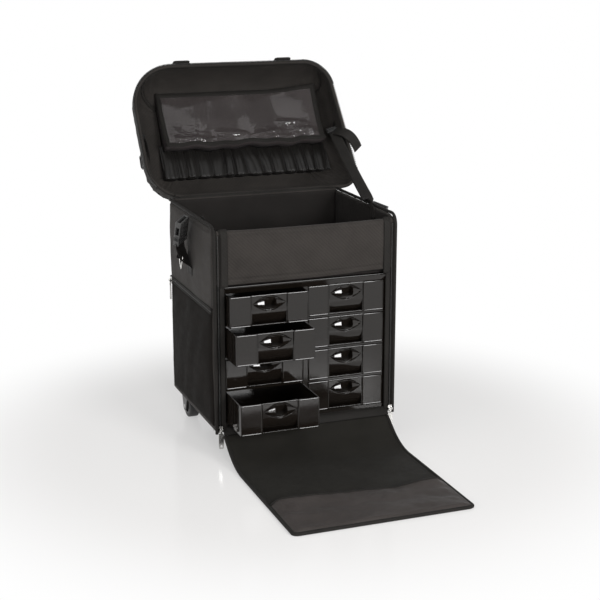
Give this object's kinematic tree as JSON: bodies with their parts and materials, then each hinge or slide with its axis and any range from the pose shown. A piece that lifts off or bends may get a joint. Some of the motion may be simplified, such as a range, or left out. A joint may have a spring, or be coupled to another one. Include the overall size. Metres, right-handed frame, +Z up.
{
  "type": "soft rolling makeup case",
  "caption": "Soft-sided rolling beauty case standing open: hinged lid tray, top compartment, drawer cabinet and a drop-down front flap, on wheels and feet with a pull-up handle.",
  "frame": {"origin": "on the floor under the middle of the whole footprint, from the flap's free end to the back of the raised lid, midway between the side walls", "axes": "+X to the right seen from the front, +Y from the flap to the back wall, +Z up"},
  "size_m": [0.451, 0.8332, 0.675],
  "materials": {
    "nylon": "matt woven nylon over foam",
    "lining": "thin matt lining cloth",
    "webbing": "ribbed black webbing and tape",
    "moulding": "polished black moulding",
    "hard_trim": "satin black",
    "bright_metal": "plated, bright",
    "axle_steel": "turned",
    "handle_tube": "drawn, satin",
    "hub": "dark grey",
    "tread": "grey, matt",
    "clear_sheet": "clear soft sheet"
  },
  "bodies": {
    "case": {"side_wall_left": "nylon", "side_wall_right": "nylon", "back_wall": "nylon", "base_board": "nylon", "front_panel": "nylon", "compartment_floor": "lining", "edge_piping": "webbing", "front_zip_tracks": "webbing", "side_pockets": "nylon", "pocket_zip_tracks": "webbing", "cabinet_frame": "moulding", "cabinet_divider": "moulding", "cabinet_shelves": "moulding", "wheel_brackets": "hard_trim", "wheel_axles": "axle_steel", "front_feet": "hard_trim", "handle_backplate": "hard_trim", "handle_sleeves": "handle_tube", "strap_anchors": "webbing", "buckle_sockets": "hard_trim", "stay_left": "webbing", "stay_right": "webbing"},
    "lid": {"lid_shell": "nylon", "lid_rim_zip": "webbing", "lid_pocket": "lining", "lid_window": "clear_sheet", "brush_loops": "webbing", "lid_straps": "webbing", "carry_handle": "webbing", "buckle_plugs": "hard_trim", "ladder_locks": "hard_trim"},
    "flap_apron": {"flap_apron": "nylon"},
    "flap_panel": {"flap_panel": "nylon", "flap_pocket": "lining", "flap_binding": "webbing"},
    "drawer_left_1": {"drawer_left_1": "moulding"},
    "drawer_left_2": {"drawer_left_2": "moulding"},
    "drawer_left_3": {"drawer_left_3": "moulding"},
    "drawer_left_4": {"drawer_left_4": "moulding"},
    "drawer_right_1": {"drawer_right_1": "moulding"},
    "drawer_right_2": {"drawer_right_2": "moulding"},
    "drawer_right_3": {"drawer_right_3": "moulding"},
    "drawer_right_4": {"drawer_right_4": "moulding"},
    "wheel_left": {"wheel_hub_left": "hub", "wheel_tyre_left": "tread"},
    "wheel_right": {"wheel_hub_right": "hub", "wheel_tyre_right": "tread"},
    "handle": {"handle_tubes": "handle_tube", "handle_grip": "hard_trim"},
    "handle_button": {"handle_button": "hard_trim"},
    "ring_left": {"ring_left": "bright_metal"},
    "ring_right": {"ring_right": "bright_metal"},
    "flap_slider_left": {"flap_slider_left": "bright_metal"},
    "flap_slider_right": {"flap_slider_right": "bright_metal"},
    "flap_pull_left": {"flap_pull_left": "bright_metal"},
    "flap_pull_right": {"flap_pull_right": "bright_metal"},
    "pocket_slider_left": {"pocket_slider_left": "bright_metal"},
    "pocket_slider_right": {"pocket_slider_right": "bright_metal"},
    "pocket_pull_left": {"pocket_pull_left": "bright_metal"},
    "pocket_pull_right": {"pocket_pull_right": "bright_metal"}
  },
  "joints": [
    {"name": "lid_hinge", "type": "hinge", "parent": "case", "child": "lid", "pos_m": [0, 0.22787, 0.428], "axis": [-1, 0, 0], "range_deg": [-118, 0], "deforming": ["stay_left", "stay_right"]},
    {"name": "flap_hinge", "type": "hinge", "parent": "case", "child": "flap_apron", "pos_m": [0, -0.06063, 0.046], "axis": [1, 0, 0], "range_deg": [-125.2, 0]},
    {"name": "flap_fold", "type": "hinge", "parent": "flap_apron", "child": "flap_panel", "pos_m": [0, -0.11918, 0.005], "axis": [-1, 0, 0], "range_deg": [-35, 0]},
    {"name": "drawer_left_1_slide", "type": "slide", "parent": "case", "child": "drawer_left_1", "axis": [0, -1, 0], "range_m": [-0.0272, 0.0002]},
    {"name": "drawer_left_2_slide", "type": "slide", "parent": "case", "child": "drawer_left_2", "axis": [0, -1, 0], "range_m": [-0.0602, 0.0002]},
    {"name": "drawer_left_3_slide", "type": "slide", "parent": "case", "child": "drawer_left_3", "axis": [0, -1, 0], "range_m": [0, 0.16]},
    {"name": "drawer_left_4_slide", "type": "slide", "parent": "case", "child": "drawer_left_4", "axis": [0, -1, 0], "range_m": [-0.0822, 0.0002]},
    {"name": "drawer_right_1_slide", "type": "slide", "parent": "case", "child": "drawer_right_1", "axis": [0, -1, 0], "range_m": [0, 0.16]},
    {"name": "drawer_right_2_slide", "type": "slide", "parent": "case", "child": "drawer_right_2", "axis": [0, -1, 0], "range_m": [0, 0.16]},
    {"name": "drawer_right_3_slide", "type": "slide", "parent": "case", "child": "drawer_right_3", "axis": [0, -1, 0], "range_m": [0, 0.16]},
    {"name": "drawer_right_4_slide", "type": "slide", "parent": "case", "child": "drawer_right_4", "axis": [0, -1, 0], "range_m": [0, 0.16]},
    {"name": "wheel_left_spin", "type": "hinge", "parent": "case", "child": "wheel_left", "pos_m": [-0.15, 0.18537, 0.022], "axis": [1, 0, 0], "continuous": true},
    {"name": "wheel_right_spin", "type": "hinge", "parent": "case", "child": "wheel_right", "pos_m": [0.15, 0.18537, 0.022], "axis": [1, 0, 0], "continuous": true},
    {"name": "handle_slide", "type": "slide", "parent": "case", "child": "handle", "axis": [0, 0, 1], "range_m": [0, 0.04]},
    {"name": "handle_press", "type": "slide", "parent": "handle", "child": "handle_button", "axis": [0, 0, -1], "range_m": [0, 0.0022], "stiffness_N_per_m": 400},
    {"name": "ring_left_swing", "type": "hinge", "parent": "case", "child": "ring_left", "pos_m": [-0.193, 0.08537, 0.349], "axis": [0, 1, 0], "range_deg": [-12, 120]},
    {"name": "flap_slider_left_run", "type": "slide", "parent": "case", "child": "flap_slider_left", "axis": [0, 0, 1], "range_m": [0, 0.25]},
    {"name": "flap_pull_left_swing", "type": "hinge", "parent": "flap_slider_left", "child": "flap_pull_left", "pos_m": [-0.166, -0.05943, 0.057], "axis": [-1, 0, 0], "range_deg": [0, 170]},
    {"name": "pocket_slider_left_run", "type": "slide", "parent": "case", "child": "pocket_slider_left", "axis": [0, -1, 0], "range_m": [0, 0.23]},
    {"name": "pocket_pull_left_swing", "type": "hinge", "parent": "pocket_slider_left", "child": "pocket_pull_left", "pos_m": [-0.182, 0.20537, 0.273], "axis": [0, 1, 0], "range_deg": [0, 100]},
    {"name": "ring_right_swing", "type": "hinge", "parent": "case", "child": "ring_right", "pos_m": [0.193, 0.08537, 0.349], "axis": [0, -1, 0], "range_deg": [-12, 120]},
    {"name": "flap_slider_right_run", "type": "slide", "parent": "case", "child": "flap_slider_right", "axis": [0, 0, 1], "range_m": [0, 0.25]},
    {"name": "flap_pull_right_swing", "type": "hinge", "parent": "flap_slider_right", "child": "flap_pull_right", "pos_m": [0.166, -0.05943, 0.057], "axis": [-1, 0, 0], "range_deg": [0, 170]},
    {"name": "pocket_slider_right_run", "type": "slide", "parent": "case", "child": "pocket_slider_right", "axis": [0, -1, 0], "range_m": [0, 0.23]},
    {"name": "pocket_pull_right_swing", "type": "hinge", "parent": "pocket_slider_right", "child": "pocket_pull_right", "pos_m": [0.182, 0.20537, 0.273], "axis": [0, -1, 0], "range_deg": [0, 100]}
  ],
  "couplings": [
    {"joint": "flap_hinge", "follows": "flap_fold", "ratio": 3.5714},
    {"joint": "drawer_left_1_slide", "follows": "flap_fold", "m_per_rad": 0.0442},
    {"joint": "drawer_left_2_slide", "follows": "flap_fold", "m_per_rad": 0.098221},
    {"joint": "drawer_left_4_slide", "follows": "flap_fold", "m_per_rad": 0.13424}
  ]
}
